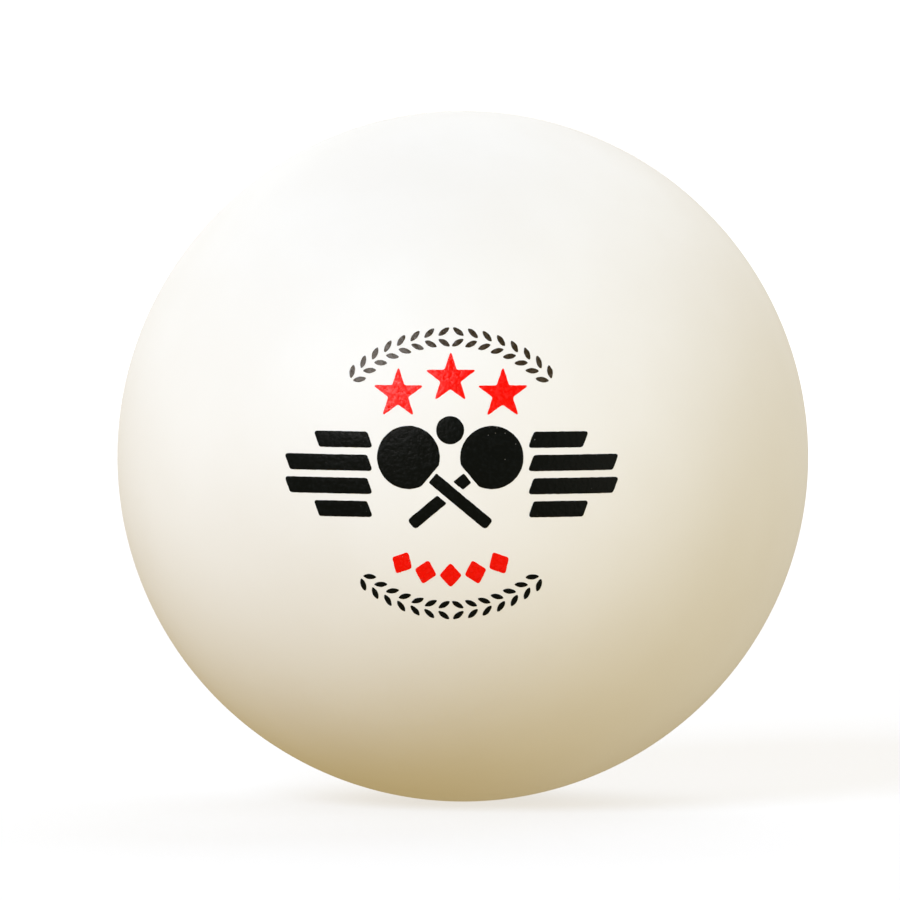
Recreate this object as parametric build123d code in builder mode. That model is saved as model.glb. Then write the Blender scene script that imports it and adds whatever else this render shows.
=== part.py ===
from build123d import *
import os
from math import cos, degrees, radians, sin, sqrt, tan

# A table tennis ball of the 40+ class, in millimetres.
# Two half shells moulded in ABS plug into each other at a stepped rim and are cemented there. The front
# half carries a mark printed in black and red ink.
# The origin is the ball's centre. Y is the moulding axis: the printed half faces -Y, the plain half +Y,
# and the seam lies in the XZ plane. +Z is up as the print is read.

# The ball
ball_diameter = 40.3
wall = 0.48

# The joint between the halves
rim_wall = 0.8
tongue_wall = 0.36
tongue_length = 1.4
tongue_lead_in = 0.12
cement_film = 0.06
seam_edge_break = 0.05

# The print, laid out in rings about the front pole
ink_film = 0.02
print_gap = 0.24

# The emblem: two crossed bats with a ball above them
bat_blade_radius = 1.8
bat_throat_length = 1.3
bat_handle_length = 2.9
bat_handle_width = 0.7
bat_handle_round = 0.18
bat_rubber_line = 0.18
bat_lean = 50.0
bat_crossing_height = -1.0
emblem_ball_radius = 0.8

# The bars on both sides of the emblem, from the top one down
bar_lengths = (3.1, 4.8, 4.8, 3.1)
bar_height = 0.92
bar_pitch = 1.32
bar_slant = 20.0
bar_corner_round = 0.12

# The three grade stars
star_gap = 0.56
star_radius = 1.56
star_inner_radius = 0.6
star_corner_round = 0.045
star_pitch = 3.15

# The sprigs above and below, each two rows of leaves on one ring
sprig_gap = 0.15
upper_sprig_half_angle = 48.0
lower_sprig_half_angle = 42.0
leaf_length = 0.82
leaf_width = 0.31
leaf_tilt = 34.0
leaf_pitch = 0.8

# The row of red lozenges under the emblem
lozenge_gap = 1.68
lozenge_count = 5
lozenge_width = 1.3
lozenge_height = 1.46
lozenge_pitch = 1.44
lozenge_corner_round = 0.1

# Worked out from the sizes above
ball_radius = ball_diameter / 2
inner_radius = ball_radius - wall
rim_radius = ball_radius - rim_wall
rim_depth = sqrt(inner_radius**2 - rim_radius**2)
tongue_radius = rim_radius + tongue_wall
rebate_radius = tongue_radius + cement_film
rebate_depth = tongue_length + cement_film
seam_face = cement_film / 2
seam_radius = ball_radius - seam_edge_break

blade_reach = bat_throat_length + bat_blade_radius
blade_offset = blade_reach * sin(radians(bat_lean))
blade_height = bat_crossing_height + blade_reach * cos(radians(bat_lean))
ball_to_blade = bat_blade_radius + print_gap + emblem_ball_radius
emblem_ball_height = blade_height + sqrt(ball_to_blade**2 - blade_offset**2)
emblem_top = emblem_ball_height + emblem_ball_radius
emblem_half_width = blade_offset + bat_blade_radius

star_ring_radius = emblem_top + star_gap + star_radius
leaf_reach = leaf_length * sin(radians(leaf_tilt)) + leaf_width / 2
sprig_ring_radius = star_ring_radius + star_radius + sprig_gap + leaf_reach
lozenge_ring_radius = emblem_top + lozenge_gap + lozenge_height / 2


def on_sphere(radius, axial):
    """A half shell's section point that lies on a sphere, at a place along the moulding axis."""
    return (sqrt(radius**2 - axial**2), axial)


def half_shell_section(rim_outline):
    """Draws a half shell's section, pole down, with X as its radius and Y as the moulding axis.

    Inside, the rim runs straight from the seam until it meets the dome, so that the core pulls out.
    """
    pole = (0, -ball_radius)
    inner_pole = (0, -inner_radius)
    seam_corner = on_sphere(ball_radius, -seam_face)
    dome_start = (rim_radius, -rim_depth)
    ThreePointArc(pole, on_sphere(ball_radius, -ball_radius / 2), seam_corner)
    Polyline(seam_corner, *rim_outline, dome_start)
    ThreePointArc(dome_start, on_sphere(inner_radius, -inner_radius / 2), inner_pole)
    Line(inner_pole, pole)


def seam_corner_edge(shell):
    """The outer edge of a shell's seam, which is its widest circle."""
    circles = shell.edges().filter_by(GeomType.CIRCLE).filter_by(lambda edge: edge.is_closed)
    return circles.sort_by(SortBy.RADIUS)[-1]


# The printed half, whose rim carries the tongue
with BuildPart() as front_half_shell:
    with BuildSketch():
        with BuildLine():
            half_shell_section(
                [
                    (tongue_radius, -seam_face),
                    (tongue_radius, tongue_length),
                    (rim_radius, tongue_length),
                ]
            )
        make_face()
    revolve(axis=Axis.Y)
    chamfer(seam_corner_edge(front_half_shell), seam_edge_break)
    tongue_end = front_half_shell.faces().filter_by(GeomType.PLANE).sort_by(Axis.Y)[-1]
    chamfer(tongue_end.edges().sort_by(SortBy.RADIUS)[-1], tongue_lead_in)
front_half_shell.part.label = "front_half_shell"

# The plain half: the same section turned to face +Y, with a rebate in its rim for the tongue
with BuildPart() as rear_half_shell:
    with BuildSketch(-Plane.XY):
        with BuildLine():
            half_shell_section(
                [
                    (rebate_radius, -seam_face),
                    (rebate_radius, -rebate_depth),
                    (rim_radius, -rebate_depth),
                ]
            )
        make_face()
    revolve(axis=Axis.Y)
    chamfer(seam_corner_edge(rear_half_shell), seam_edge_break)
rear_half_shell.part.label = "rear_half_shell"

# The cement: the rebate and the seam's gap, less the tongue that stands in them
with BuildPart() as seam_cement:
    with BuildSketch():
        with Locations((rim_radius, -seam_face)):
            Rectangle(rebate_radius - rim_radius, seam_face + rebate_depth, align=Align.MIN)
            Rectangle(seam_radius - rim_radius, cement_film, align=Align.MIN)
    revolve(axis=Axis.Y)
    add(front_half_shell.part, mode=Mode.SUBTRACT)
seam_cement.part.label = "seam_cement"

# The layer on the ball that all the ink lies in
with BuildPart() as ink_layer:
    Sphere(ball_radius + ink_film)
    Sphere(ball_radius, mode=Mode.SUBTRACT)


def print_on_front():
    """Carries the drawing in hand straight back onto the front half, as a film of ink."""
    extrude(amount=ball_radius + 2 * ink_film)
    add(ink_layer.part, mode=Mode.INTERSECT)


# One bat, upright on the point where the two cross, with a fine line between its rubber and its handle
with BuildSketch() as bat:
    with Locations((0, -bat_handle_length)):
        Rectangle(bat_handle_width, bat_handle_length + blade_reach, align=(Align.CENTER, Align.MIN))
    fillet(bat.vertices().group_by(Axis.Y)[0], bat_handle_round)
    with Locations((0, blade_reach)):
        Circle(bat_blade_radius)
    with Locations((0, bat_throat_length + bat_rubber_line / 2)):
        Rectangle(2 * bat_blade_radius, bat_rubber_line, mode=Mode.SUBTRACT)

with BuildSketch() as bat_clearance:
    add(bat.sketch)
    offset(amount=print_gap)

with BuildPart() as bats_emblem:
    with BuildSketch(Plane.XZ):
        with Locations((0, bat_crossing_height)):
            add(bat.sketch, rotation=-bat_lean)
            add(bat_clearance.sketch, rotation=bat_lean, mode=Mode.SUBTRACT)
            add(bat.sketch, rotation=bat_lean)
        with Locations((0, emblem_ball_height)):
            Circle(emblem_ball_radius)
    print_on_front()
bats_emblem.part.label = "bats_emblem"


def bars_drawing(side):
    """Draws the bars beside the emblem, slanted outwards, on the right for side 1 and on the left for -1."""
    slant = bar_height / 2 * tan(radians(bar_slant))
    start = emblem_half_width + print_gap + slant
    for row, length in enumerate(bar_lengths):
        height = bar_pitch * ((len(bar_lengths) - 1) / 2 - row)
        low = height - bar_height / 2
        high = height + bar_height / 2
        end = start + length
        corners = [(start - slant, low), (end - slant, low), (end + slant, high), (start + slant, high)]
        Polygon([(side * x, z) for x, z in corners])


with BuildPart() as left_bars:
    with BuildSketch(Plane.XZ) as left_drawing:
        bars_drawing(-1)
        fillet(left_drawing.vertices(), bar_corner_round)
    print_on_front()
left_bars.part.label = "left_bars"

with BuildPart() as right_bars:
    with BuildSketch(Plane.XZ) as right_drawing:
        bars_drawing(1)
        fillet(right_drawing.vertices(), bar_corner_round)
    print_on_front()
right_bars.part.label = "right_bars"

# The grade stars, upright on their ring
star_corners = []
for corner in range(10):
    reach = star_inner_radius if corner % 2 else star_radius
    turn = radians(90 + 36 * corner)
    star_corners.append((reach * cos(turn), reach * sin(turn)))

grade_stars = []
for number in range(3):
    ring_angle = 90 + degrees(star_pitch / star_ring_radius) * (1 - number)
    with BuildPart() as grade_star:
        with BuildSketch(Plane.XZ) as star:
            with PolarLocations(star_ring_radius, 1, start_angle=ring_angle, rotate=False):
                Polygon(star_corners)
            fillet(star.vertices(), star_corner_round)
        print_on_front()
    grade_star.part.label = f"grade_star_{number + 1}"
    grade_stars.append(grade_star)

# One leaf, pointed at both ends
with BuildSketch() as leaf:
    with BuildLine():
        SagittaArc((0, -leaf_length / 2), (0, leaf_length / 2), leaf_width / 2)
        SagittaArc((0, -leaf_length / 2), (0, leaf_length / 2), -leaf_width / 2)
    make_face()


def sprig_drawing(middle_angle, half_angle):
    """Draws pairs of leaves along the sprig ring, which point from both ends towards the middle angle."""
    pitch_angle = degrees(leaf_pitch / sprig_ring_radius)
    for side in (-1, 1):
        for pair in range(int(half_angle / pitch_angle)):
            ring_angle = middle_angle + side * (pair + 0.5) * pitch_angle
            with PolarLocations(sprig_ring_radius, 1, start_angle=ring_angle):
                for row in (-1, 1):
                    with Locations((row * leaf_reach / 2, 0)):
                        add(leaf.sketch, rotation=side * row * leaf_tilt)


with BuildPart() as upper_sprig:
    with BuildSketch(Plane.XZ):
        sprig_drawing(90, upper_sprig_half_angle)
    print_on_front()
upper_sprig.part.label = "upper_sprig"

with BuildPart() as lower_sprig:
    with BuildSketch(Plane.XZ):
        sprig_drawing(-90, lower_sprig_half_angle)
    print_on_front()
lower_sprig.part.label = "lower_sprig"

# The red lozenges, spread along their ring under the emblem
with BuildSketch() as lozenge:
    Polygon(
        [
            (lozenge_height / 2, 0),
            (0, lozenge_width / 2),
            (-lozenge_height / 2, 0),
            (0, -lozenge_width / 2),
        ]
    )
    fillet(lozenge.vertices(), lozenge_corner_round)

with BuildPart() as red_lozenges:
    with BuildSketch(Plane.XZ):
        for number in range(lozenge_count):
            turn = degrees(lozenge_pitch / lozenge_ring_radius) * (number - (lozenge_count - 1) / 2)
            with PolarLocations(lozenge_ring_radius, 1, start_angle=turn - 90):
                add(lozenge.sketch)
    print_on_front()
red_lozenges.part.label = "red_lozenges"

os.makedirs("parts", exist_ok=True)
shells = (front_half_shell, rear_half_shell, seam_cement)
marks = (bats_emblem, left_bars, right_bars, *grade_stars, upper_sprig, lower_sprig, red_lozenges)
for piece in (*shells, *marks):
    export_step(piece.part, f"parts/{piece.part.label}.step")
    print(piece.part.label, len(piece.solids()), "solids", round(piece.part.volume, 3), "mm3")
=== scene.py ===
import math

import bmesh
import bpy
import numpy as np
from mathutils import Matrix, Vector, geometry, noise


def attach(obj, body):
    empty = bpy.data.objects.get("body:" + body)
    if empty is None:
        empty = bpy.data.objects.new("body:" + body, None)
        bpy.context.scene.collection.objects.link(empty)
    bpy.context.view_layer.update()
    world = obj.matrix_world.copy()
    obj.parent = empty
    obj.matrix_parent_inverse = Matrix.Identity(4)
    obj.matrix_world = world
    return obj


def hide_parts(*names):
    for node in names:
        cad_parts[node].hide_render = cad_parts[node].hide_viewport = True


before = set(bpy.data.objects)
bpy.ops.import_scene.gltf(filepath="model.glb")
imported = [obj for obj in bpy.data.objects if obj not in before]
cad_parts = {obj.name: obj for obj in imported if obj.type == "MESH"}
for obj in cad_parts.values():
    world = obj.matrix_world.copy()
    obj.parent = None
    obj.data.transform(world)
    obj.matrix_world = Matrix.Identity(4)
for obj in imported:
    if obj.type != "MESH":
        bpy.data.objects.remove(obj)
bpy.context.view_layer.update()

MM = 0.001
HAIR = 0.001 * MM

# ---------------------------------------------------------------------------------------------------------
# Sizes of the ball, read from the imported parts. Y is the moulding axis, and radii are measured from it.
# ---------------------------------------------------------------------------------------------------------


def section(node):
    """The radius of each vertex of a CAD node and its place along the moulding axis."""
    points = np.array([vertex.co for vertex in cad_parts[node].data.vertices])
    return np.hypot(points[:, 0], points[:, 2]), points[:, 1]


front_radii, front_places = section("front_half_shell")
rear_radii, rear_places = section("rear_half_shell")
cement_radii, cement_places = section("seam_cement")
ink_radii, ink_places = section("bats_emblem")

BALL_RADIUS = rear_places.max()
BORE_RADIUS = rear_places[rear_radii < HAIR].min()
SEAM_FACE = rear_places.min()
SEAM_RADIUS = cement_radii.max()
EDGE_BREAK = BALL_RADIUS - SEAM_RADIUS
RIM_RADIUS = front_radii[front_places > 0].min()
RIM_DEPTH = math.sqrt(BORE_RADIUS**2 - RIM_RADIUS**2)
TONGUE_RADIUS = front_radii[front_places > 0].max()
TONGUE_LENGTH = front_places.max()
LEAD_IN_RADIUS = front_radii[front_places > TONGUE_LENGTH - HAIR].max()
LEAD_IN_PLACE = TONGUE_LENGTH - (TONGUE_RADIUS - LEAD_IN_RADIUS)
REBATE_RADIUS = rear_radii[rear_places < SEAM_FACE + HAIR].min()
REBATE_DEPTH = cement_places.max()
INK_RADIUS = np.hypot(ink_radii, ink_places).max()


# ---------------------------------------------------------------------------------------------------------
# Finishes. A Value is a number that varies over a surface, and arithmetic with it adds Math nodes.
# ---------------------------------------------------------------------------------------------------------

# The sockets of a Mix node that mixes colours
MIX_SHARE, MIX_FIRST, MIX_SECOND, MIX_RESULT = 0, 6, 7, 2


class Value:
    """An output of one of a finish's nodes."""

    def __init__(self, finish, socket):
        self.finish = finish
        self.socket = socket

    def math(self, operation, *numbers):
        return self.finish.node("ShaderNodeMath", {"operation": operation}, numbers)

    def __add__(self, other):
        return self.math("ADD", self, other)

    def __sub__(self, other):
        return self.math("SUBTRACT", self, other)

    def __rsub__(self, other):
        return self.math("SUBTRACT", other, self)

    def __mul__(self, other):
        return self.math("MULTIPLY", self, other)

    def __abs__(self):
        return self.math("ABSOLUTE", self)

    __radd__ = __add__
    __rmul__ = __mul__

    def rise(self, low, high):
        """0 below low and 1 above high, with a smooth rise between them."""
        sockets = {"Value": self, "From Min": low, "From Max": high}
        return self.finish.node("ShaderNodeMapRange", {"interpolation_type": "SMOOTHSTEP"}, sockets)


class Finish:
    """A material in the making. Its method node() makes every node."""

    def __init__(self, name):
        self.material = bpy.data.materials.new(name)
        self.material.use_nodes = True
        self.tree = self.material.node_tree
        self.tree.nodes.clear()
        self.place = self.node("ShaderNodeTexCoord", output="Object")

    def node(self, kind, settings=None, sockets=None, output=0):
        """Adds a node, sets it up, plugs values or links into its sockets and returns one of its outputs."""
        made = self.tree.nodes.new(kind)
        for name, setting in (settings or {}).items():
            setattr(made, name, setting)
        plugs = sockets if isinstance(sockets, dict) else dict(enumerate(sockets or ()))
        for name, value in plugs.items():
            if isinstance(value, Value):
                self.tree.links.new(value.socket, made.inputs[name])
            else:
                made.inputs[name].default_value = value
        return Value(self, made.outputs[output]) if made.outputs else None

    def noise(self, size, detail=2.0):
        """Soft noise from 0 to 1 with features of a size in metres."""
        sockets = {"Vector": self.place, "Scale": 1 / size, "Detail": detail}
        return self.node("ShaderNodeTexNoise", None, sockets)

    def specks(self, spacing, share):
        """1 in round specks, one to a cell of the spacing in metres, that fill a share of its width."""
        sockets = {"Vector": self.place, "Scale": 1 / spacing}
        return 1 - self.node("ShaderNodeTexVoronoi", None, sockets, "Distance").rise(0.5 * share, share)

    def place_along_axis(self):
        return self.node("ShaderNodeSeparateXYZ", None, {"Vector": self.place}, "Y")

    def between(self, first, second, share):
        """The colour that lies a share of the way from the first to the second."""
        sockets = {MIX_SHARE: share, MIX_FIRST: first, MIX_SECOND: second}
        return self.node("ShaderNodeMix", {"data_type": "RGBA"}, sockets, MIX_RESULT)

    def relief(self, height, depth, under=None):
        """The normal of a surface with a relief of a depth in metres, over another relief if one is given."""
        sockets = {"Height": height, "Distance": depth}
        if under:
            sockets["Normal"] = under
        return self.node("ShaderNodeBump", None, sockets, "Normal")

    def shaded(self, sockets):
        """Ends the material in a Principled shader with these sockets."""
        surface = self.node("ShaderNodeBsdfPrincipled", None, sockets, "BSDF")
        self.node("ShaderNodeOutputMaterial", None, {"Surface": surface})
        return self.material


WARM_WHITE = (0.885, 0.868, 0.825, 1)
DEEPER_WHITE = (0.865, 0.843, 0.792, 1)
CEMENT_CREAM = (0.78, 0.74, 0.65, 1)
CEMENT_AMBER = (0.70, 0.64, 0.52, 1)
BLACK = (0.0006, 0.0028, 0.0032, 1)
WORN_BLACK = (0.0022, 0.0048, 0.0052, 1)
THIN_BLACK = (0.026, 0.019, 0.011, 1)
WORN_THIN_BLACK = (0.050, 0.040, 0.028, 1)
RED = (0.93, 0.0002, 0.0002, 1)
WORN_RED = (0.95, 0.0014, 0.0014, 1)
SHOWING_THROUGH = (0.45, 0.42, 0.37, 1)
INK_GLOSS = (1.0, 0.77, 0.56, 1)


def moulded_shell():
    """Matte warm white ABS: faint clouds in the colour, a fine grain and a trimmed band along the seam."""
    finish = Finish("matte_white_abs")
    clouds = finish.noise(9 * MM, 3)
    grain = finish.noise(0.16 * MM, 2)
    orange_peel = finish.noise(1.1 * MM, 2)
    trimmed = 1 - abs(finish.place_along_axis()).rise(0.5 * MM, 1.1 * MM)
    colour = finish.between(WARM_WHITE, DEEPER_WHITE, clouds.rise(0.3, 0.7))
    tooth = finish.relief(grain * (1 - 0.6 * trimmed), 0.0035 * MM)
    return finish.shaded(
        {
            "Base Color": colour,
            "Roughness": 0.60 + 0.10 * (clouds - 0.5) - 0.14 * trimmed,
            "IOR": 1.53,
            "Specular IOR Level": 0.22,
            "Normal": finish.relief(orange_peel, 0.006 * MM, tooth),
        }
    )


def set_cement():
    """Dull cream cement, a little uneven around the seam."""
    finish = Finish("set_cement")
    patches = finish.noise(1.6 * MM, 3)
    return finish.shaded(
        {
            "Base Color": finish.between(CEMENT_CREAM, CEMENT_AMBER, patches.rise(0.35, 0.7)),
            "Roughness": 0.55 + 0.2 * (patches - 0.5),
            "Normal": finish.relief(patches, 0.01 * MM),
        }
    )


def pad_ink(name, full, worn, roughness, dulled, sheen, crinkle):
    """Satin ink whose skin dried crinkled, with pinholes to the plastic.

    Its ridges are paler, and rougher by the dulled share. The crinkle is their depth in metres.
    """
    finish = Finish(name)
    ridges = finish.noise(0.22 * MM, 3)
    waves = finish.noise(0.9 * MM, 2)
    pinholes = finish.specks(0.42 * MM, 0.09) * finish.noise(1.3 * MM, 1).rise(0.5, 0.6)
    bloom = finish.between(full, worn, ridges.rise(0.45, 0.75))
    gentle_waves = finish.relief(waves, 0.02 * MM)
    return finish.shaded(
        {
            "Base Color": finish.between(bloom, SHOWING_THROUGH, 0.35 * pinholes),
            "Roughness": roughness + 0.12 * (waves - 0.5) + dulled * ridges.rise(0.45, 0.62),
            "IOR": 1.5,
            "Specular IOR Level": sheen,
            "Specular Tint": INK_GLOSS,
            "Normal": finish.relief(ridges - 0.5 * pinholes, crinkle, gentle_waves),
        }
    )


# ---------------------------------------------------------------------------------------------------------
# Pieces
# ---------------------------------------------------------------------------------------------------------

CORNER_ANGLE = math.radians(35)


def add_mesh(name, points, faces, material):
    """A mesh object with outward faces, smooth but for its corners."""
    mesh = bpy.data.meshes.new(name)
    mesh.from_pydata([tuple(point) for point in points], [], faces)
    shape = bmesh.new()
    shape.from_mesh(mesh)
    bmesh.ops.recalc_face_normals(shape, faces=shape.faces)
    shape.to_mesh(mesh)
    shape.free()
    mesh.materials.append(material)
    mesh.shade_smooth()
    mesh.set_sharp_from_angle(angle=CORNER_ANGLE)
    made = bpy.data.objects.new(name, mesh)
    bpy.context.scene.collection.objects.link(made)
    return made


def stand_for(made, node):
    """The piece is part of the ball and takes a CAD node's place."""
    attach(made, "root")
    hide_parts(node)


DOME_CELLS = 48
RING_COUNT = 8 * DOME_CELLS
RING_ANGLES = np.arange(RING_COUNT) * 2 * math.pi / RING_COUNT
EDGE_STEPS = 4


def ring(radius, place):
    """One circle of points about the moulding axis."""
    return np.column_stack(
        (radius * np.cos(RING_ANGLES), np.full(RING_COUNT, place), radius * np.sin(RING_ANGLES))
    )


def strips(first, second):
    """The quads between two rings, given the numbers of their points."""
    ends = zip(first, np.roll(first, -1), np.roll(second, -1), second)
    return [tuple(int(corner) for corner in quad) for quad in ends]


def dome(radius, rim_depth, start):
    """A dome's points, its quads and its rim's point numbers, which count on from a start.

    The pole is at plus radius along the axis. The square rings of a grid become circles, so that no quads
    crowd at the pole.
    """
    steps = np.arange(-DOME_CELLS, DOME_CELLS + 1)
    across, up = (grid.ravel() for grid in np.meshgrid(steps, steps, indexing="ij"))
    reach = np.maximum(np.abs(across), np.abs(up))
    wide = np.abs(across) >= np.abs(up)
    turn = np.where(wide, up / np.where(across == 0, 1, across), -across / np.where(up == 0, 1, up))
    turn = math.pi / 4 * turn + np.where(wide, 0, math.pi / 2)
    turn = turn + np.where(np.where(wide, across, up) < 0, math.pi, 0)
    tilt = math.acos(rim_depth / radius) * reach / DOME_CELLS
    points = radius * np.column_stack(
        (np.sin(tilt) * np.cos(turn), np.cos(tilt), np.sin(tilt) * np.sin(turn))
    )
    number = start + np.arange(len(steps) ** 2).reshape(len(steps), -1)
    corners = (number[:-1, :-1], number[1:, :-1], number[1:, 1:], number[:-1, 1:])
    quads = [tuple(int(corner) for corner in quad) for quad in zip(*(c.ravel() for c in corners))]
    outermost = np.flatnonzero(reach == DOME_CELLS)
    rim = start + outermost[np.argsort(np.round(turn[outermost] % (2 * math.pi), 6))]
    return points, quads, rim


def half_shell(name, rim_outline, facing, material):
    """A hollow half of the ball whose pole faces +Y for facing 1 and -Y for -1.

    The rim outline runs from the seam's face to the bore, as radii and depths from the seam plane.
    """
    edge_depth = SEAM_FACE + EDGE_BREAK
    broken_edge = []
    for step in range(EDGE_STEPS):
        turn = math.pi / 2 * (step + 1) / EDGE_STEPS
        radius = SEAM_RADIUS + EDGE_BREAK * math.cos(turn)
        broken_edge.append((radius, edge_depth - EDGE_BREAK * math.sin(turn)))
    points, faces, last = dome(BALL_RADIUS, edge_depth, 0)
    stacks = [points]
    count = len(points)
    for radius, depth in [*broken_edge, *rim_outline]:
        stacks.append(ring(radius, depth))
        here = np.arange(count, count + RING_COUNT)
        faces += strips(last, here)
        last = here
        count += RING_COUNT
    points, quads, rim = dome(BORE_RADIUS, RIM_DEPTH, count)
    stacks.append(points)
    faces += quads + strips(last, rim)
    return add_mesh(name, np.vstack(stacks) * (1, facing, 1), faces, material)


def cement_ring(name, material):
    """The cement between the rims, with a hollow meniscus where it shows."""
    meniscus = 0.4 * SEAM_FACE
    outline = [
        (SEAM_RADIUS, SEAM_FACE),
        (SEAM_RADIUS - meniscus, 0),
        (SEAM_RADIUS, -SEAM_FACE),
        (TONGUE_RADIUS, -SEAM_FACE),
        (TONGUE_RADIUS, LEAD_IN_PLACE),
        (LEAD_IN_RADIUS, TONGUE_LENGTH),
        (RIM_RADIUS, TONGUE_LENGTH),
        (RIM_RADIUS, REBATE_DEPTH),
        (REBATE_RADIUS, REBATE_DEPTH),
        (REBATE_RADIUS, SEAM_FACE),
    ]
    numbers = np.arange(len(outline) * RING_COUNT).reshape(len(outline), -1)
    faces = []
    for first, second in zip(numbers, np.roll(numbers, -1, axis=0)):
        faces += strips(first, second)
    return add_mesh(name, np.vstack([ring(*corner) for corner in outline]), faces, material)


# Ink: each mark's outline comes from its CAD film, and its skin is drawn again with even, fine triangles
OUTLINE_STEP = 0.05 * MM
FEWEST_OUTLINE_STEPS = 12
SKIN_STEP = 0.16 * MM
SKIN_CLEAR_OF_EDGE = 0.6 * SKIN_STEP
EDGE_SOFTENING_ROUNDS = 3
EDGE_WANDER = 0.014 * MM
WANDER_LENGTH = 0.24 * MM
EDGE_FILM_SHARE = 0.35
SUNK = 0.006 * MM
JOIN_TOLERANCE = HAIR / 100
ALL_INSIDE_THE_LOOPS = 1


def open_sides(faces):
    """The sides of faces that no neighbour shares, in the faces' own direction."""
    sides = set()
    for face in faces:
        sides.update(zip(face, face[1:] + face[:1]))
    return [(first, second) for first, second in sides if (second, first) not in sides]


def lifted(flat, radius):
    """Points of the print plane carried back onto the front of a sphere."""
    return np.column_stack((flat[:, 0], -np.sqrt(radius**2 - (flat**2).sum(axis=1)), flat[:, 1]))


def film_outlines(node):
    """The closed outlines of a film's outer face, seen along the moulding axis, as arrays of X and Z."""
    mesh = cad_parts[node].data
    places = [tuple(round(x / HAIR) for x in vertex.co) for vertex in mesh.vertices]
    outer = [vertex.co.length > INK_RADIUS - HAIR for vertex in mesh.vertices]
    flat = {place: (vertex.co.x, vertex.co.z) for place, vertex in zip(places, mesh.vertices)}
    faces = [face.vertices for face in mesh.polygons if all(outer[corner] for corner in face.vertices)]
    following = dict(open_sides([[places[corner] for corner in face] for face in faces]))
    outlines = []
    while following:
        start = min(following)
        walk = [start]
        while following[walk[-1]] != start:
            walk.append(following.pop(walk[-1]))
        following.pop(walk[-1])
        outlines.append(np.array([flat[place] for place in walk]))
    return outlines


def inked_outline(corners):
    """An outline in even short steps, its corners eased and its edge wandering as wet ink's does."""
    closed = np.vstack((corners, corners[:1]))
    lengths = np.concatenate(([0], np.cumsum(np.linalg.norm(np.diff(closed, axis=0), axis=1))))
    count = max(FEWEST_OUTLINE_STEPS, round(lengths[-1] / OUTLINE_STEP))
    at = np.arange(count) * lengths[-1] / count
    line = np.column_stack([np.interp(at, lengths, places) for places in closed.T])
    for _ in range(EDGE_SOFTENING_ROUNDS):
        line = (line + (np.roll(line, 1, axis=0) + np.roll(line, -1, axis=0)) / 2) / 2
    along = np.roll(line, -1, axis=0) - np.roll(line, 1, axis=0)
    outward = np.column_stack((along[:, 1], -along[:, 0])) / np.linalg.norm(along, axis=1)[:, None]
    wander = [noise.noise(Vector((x, z, 0)) / WANDER_LENGTH) for x, z in line]
    return line + outward * (EDGE_WANDER * np.array(wander))[:, None]


def ink_film(name, node, material):
    """A closed film of ink in the outlines of a CAD film, thinner at its edge."""
    lines = [inked_outline(corners) for corners in film_outlines(node)]
    edge = np.vstack(lines)

    def from_edge(point):
        return np.linalg.norm(edge - point, axis=1).min()

    low, high = edge.min(axis=0), edge.max(axis=0)
    columns = np.arange(low[0], high[0], SKIN_STEP)
    rows = np.arange(low[1], high[1], SKIN_STEP * math.sqrt(3) / 2)
    grid = [(x + SKIN_STEP / 2 * (row % 2), z) for row, z in enumerate(rows) for x in columns]
    inner = [point for point in grid if from_edge(point) > SKIN_CLEAR_OF_EDGE]
    ends = np.cumsum([len(line) for line in lines])
    loops = [loop.tolist() for loop in np.split(np.arange(len(edge)), ends[:-1])]
    flat = [Vector(point) for point in (*edge, *inner)]
    flat, _, faces, *_ = geometry.delaunay_2d_cdt(
        flat, [], loops, ALL_INSIDE_THE_LOOPS, JOIN_TOLERANCE
    )
    flat = np.array(flat)
    share = np.minimum(np.array([from_edge(point) for point in flat]) / SKIN_STEP, 1)
    film = (INK_RADIUS - BALL_RADIUS) * (EDGE_FILM_SHARE + (1 - EDGE_FILM_SHARE) * share)
    skin = lifted(flat, BALL_RADIUS + film)
    back = lifted(flat, BALL_RADIUS - SUNK)
    total = len(flat)
    front = [tuple(face) for face in faces]
    rear = [tuple(corner + total for corner in reversed(face)) for face in front]
    walls = [(a, b, b + total, a + total) for a, b in open_sides(front)]
    return add_mesh(name, np.vstack((skin, back)), front + rear + walls, material)


plastic = moulded_shell()
black_ink = pad_ink(
    "black_ink", BLACK, WORN_BLACK, roughness=0.30, dulled=0.10, sheen=0.09, crinkle=0.05 * MM
)
thin_black_ink = pad_ink(
    "thin_black_ink", THIN_BLACK, WORN_THIN_BLACK, roughness=0.26, dulled=0.10, sheen=0.36, crinkle=0.04 * MM
)
red_ink = pad_ink(
    "red_ink", RED, WORN_RED, roughness=0.16, dulled=0.34, sheen=0.27, crinkle=0.065 * MM
)

front_rim = [
    (TONGUE_RADIUS, SEAM_FACE),
    (TONGUE_RADIUS, -LEAD_IN_PLACE),
    (LEAD_IN_RADIUS, -TONGUE_LENGTH),
    (RIM_RADIUS, -TONGUE_LENGTH),
]
rear_rim = [
    (REBATE_RADIUS, SEAM_FACE),
    (REBATE_RADIUS, REBATE_DEPTH),
    (RIM_RADIUS, REBATE_DEPTH),
]
stand_for(half_shell("printed_half", front_rim, -1, plastic), "front_half_shell")
stand_for(half_shell("plain_half", rear_rim, 1, plastic), "rear_half_shell")
stand_for(cement_ring("cement_in_seam", set_cement()), "seam_cement")

for node in ("bats_emblem", "left_bars", "right_bars", "lower_sprig"):
    stand_for(ink_film(f"{node}_ink", node, black_ink), node)
stand_for(ink_film("upper_sprig_ink", "upper_sprig", thin_black_ink), "upper_sprig")
for node in ("grade_star_1", "grade_star_2", "grade_star_3", "red_lozenges"):
    stand_for(ink_film(f"{node}_ink", node, red_ink), node)

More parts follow.
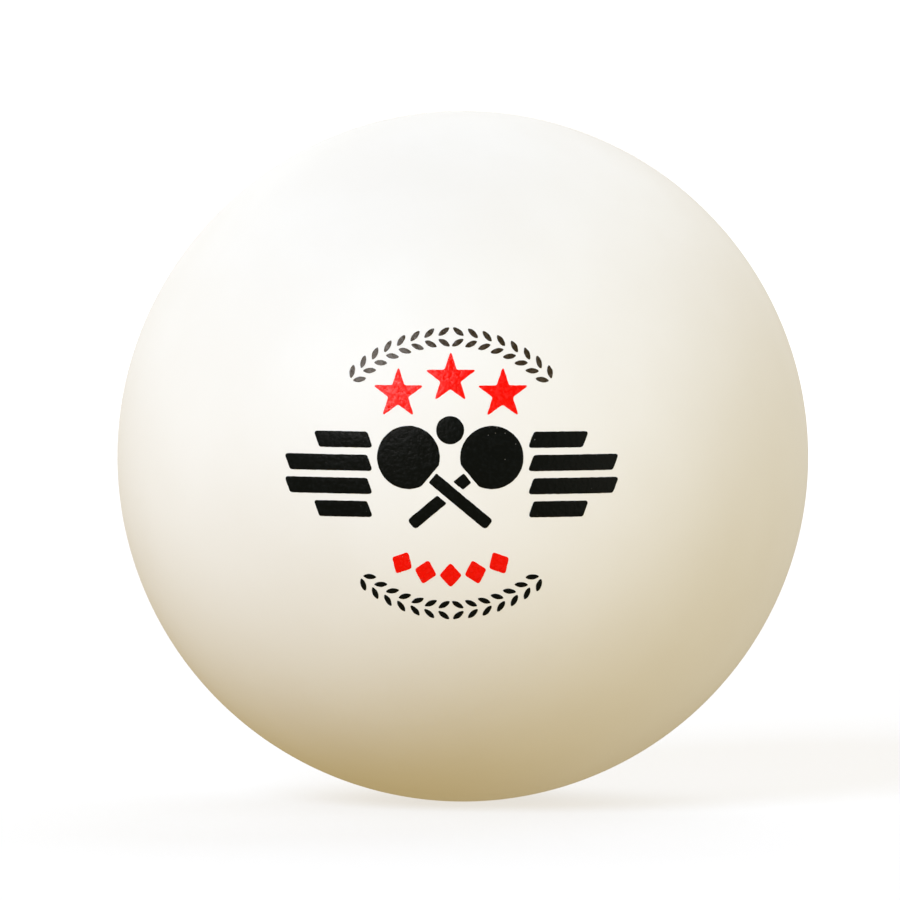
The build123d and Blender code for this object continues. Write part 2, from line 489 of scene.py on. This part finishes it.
# ---------------------------------------------------------------------------------------------------------
# Stage: a pale floor that turns up into a round wall, soft lamps and the camera
# ---------------------------------------------------------------------------------------------------------

FLOOR_RADIUS = 1.4
SWEEP_RADIUS = 0.5
WALL_HEIGHT = 1.5
SWEEP_STEPS = 16
STAGE_STEPS = 96
FLOOR_PAINT = (0.36, 0.36, 0.36, 1)
GLOW_NEAR = (0.62, 0.62, 0.62, 1)
GLOW_AWAY = (0.97, 0.97, 0.98, 1)


def pale_floor():
    """Plain pale matte paint, whose own glow takes over from the lamps' light away from the ball."""
    finish = Finish("pale_floor")
    away = finish.node("ShaderNodeVectorMath", {"operation": "LENGTH"}, [finish.place], "Value")
    return finish.shaded(
        {
            "Base Color": FLOOR_PAINT,
            "Roughness": 0.9,
            "Specular IOR Level": 0.1,
            "Emission Color": finish.between(GLOW_NEAR, GLOW_AWAY, away.rise(0.05, 0.9)),
            "Emission Strength": 1.0,
        }
    )


def stage_floor():
    """A round floor at the ball's lowest point with a wall that the camera never has to leave."""
    profile = [(0.0, 0.0), (FLOOR_RADIUS, 0.0)]
    for step in range(1, SWEEP_STEPS + 1):
        turn = math.pi / 2 * step / SWEEP_STEPS
        profile.append((FLOOR_RADIUS + SWEEP_RADIUS * math.sin(turn), SWEEP_RADIUS * (1 - math.cos(turn))))
    profile.append((FLOOR_RADIUS + SWEEP_RADIUS, WALL_HEIGHT))
    points = []
    for radius, height in profile:
        for step in range(STAGE_STEPS):
            turn = 2 * math.pi * step / STAGE_STEPS
            points.append((radius * math.cos(turn), radius * math.sin(turn), height - BALL_RADIUS))
    faces = []
    for row in range(len(profile) - 1):
        for step in range(STAGE_STEPS):
            after = (step + 1) % STAGE_STEPS
            low, high = row * STAGE_STEPS, (row + 1) * STAGE_STEPS
            faces.append((low + step, low + after, high + after, high + step))
    floor = add_mesh("floor", points, faces, pale_floor())
    floor.visible_diffuse = False
    floor.visible_glossy = False
    floor.visible_shadow = False


def towards(azimuth, elevation):
    """The direction from the ball to something that stands round it, with azimuth 0 in front and 90 right."""
    turn, rise = math.radians(azimuth), math.radians(elevation)
    return Vector((math.sin(turn) * math.cos(rise), -math.cos(turn) * math.cos(rise), math.sin(rise)))


LAMPS_AWAY = 0.9


def lamp(name, azimuth, elevation, size, power, tint):
    """A round softbox that faces the ball and stays out of the camera's sight."""
    light = bpy.data.lights.new(name, "AREA")
    light.shape = "DISK"
    light.size = size
    light.energy = power
    light.color = tint
    made = bpy.data.objects.new(name, light)
    bpy.context.scene.collection.objects.link(made)
    direction = towards(azimuth, elevation)
    made.location = direction * LAMPS_AWAY
    made.rotation_euler = (-direction).to_track_quat("-Z", "Y").to_euler()
    made.visible_camera = False


# Each softbox's azimuth, elevation, width in metres, power in watts and tint
SOFTBOXES = {
    "key_softbox": (-30, 30, 0.50, 7.8, (0.58, 0.725, 0.99)),
    "left_softbox": (-105, 7, 0.90, 2.1, (0.93, 0.97, 1.0)),
    "right_softbox": (65, 2, 1.20, 4.3, (0.81, 0.92, 1.0)),
    "back_left_softbox": (-160, 28, 0.90, 2.7, (0.74, 0.84, 0.96)),
    "back_right_softbox": (150, 40, 0.90, 4.3, (0.69, 0.80, 1.0)),
    "floor_bounce": (-15, -15, 1.80, 1.7, (1.0, 0.75, 0.18)),
}

stage_floor()
for name, placing in SOFTBOXES.items():
    lamp(name, *placing)

ROOM_TINT = (1.0, 0.75, 0.345, 1)
ROOM_STRENGTH = 0.42

room = bpy.data.worlds.new("studio")
bpy.context.scene.world = room
room.use_nodes = True
room_light = room.node_tree.nodes["Background"]
room_light.inputs["Color"].default_value = ROOM_TINT
room_light.inputs["Strength"].default_value = ROOM_STRENGTH

CAMERA_AZIMUTH, CAMERA_ELEVATION = 2.07, 3.07
CAMERA_AWAY = 0.8
BALL_SHARE_OF_FRAME = 0.7677
FRAMING_RIGHT, FRAMING_DOWN = 0.0142, 0.0068

camera_data = bpy.data.cameras.new("camera")
camera_data.sensor_width = 36
half_angle = math.asin(BALL_RADIUS / CAMERA_AWAY)
camera_data.lens = camera_data.sensor_width * BALL_SHARE_OF_FRAME / 2 / math.tan(half_angle)
camera_data.shift_x = -FRAMING_RIGHT
camera_data.shift_y = FRAMING_DOWN
camera_data.clip_start = 0.05
camera_data.clip_end = 10
camera = bpy.data.objects.new("camera", camera_data)
bpy.context.scene.collection.objects.link(camera)
viewpoint = towards(CAMERA_AZIMUTH, CAMERA_ELEVATION)
camera.location = viewpoint * CAMERA_AWAY
camera.rotation_euler = (-viewpoint).to_track_quat("-Z", "Y").to_euler()
bpy.context.scene.camera = camera
bpy.context.scene.view_settings.view_transform = "Standard"
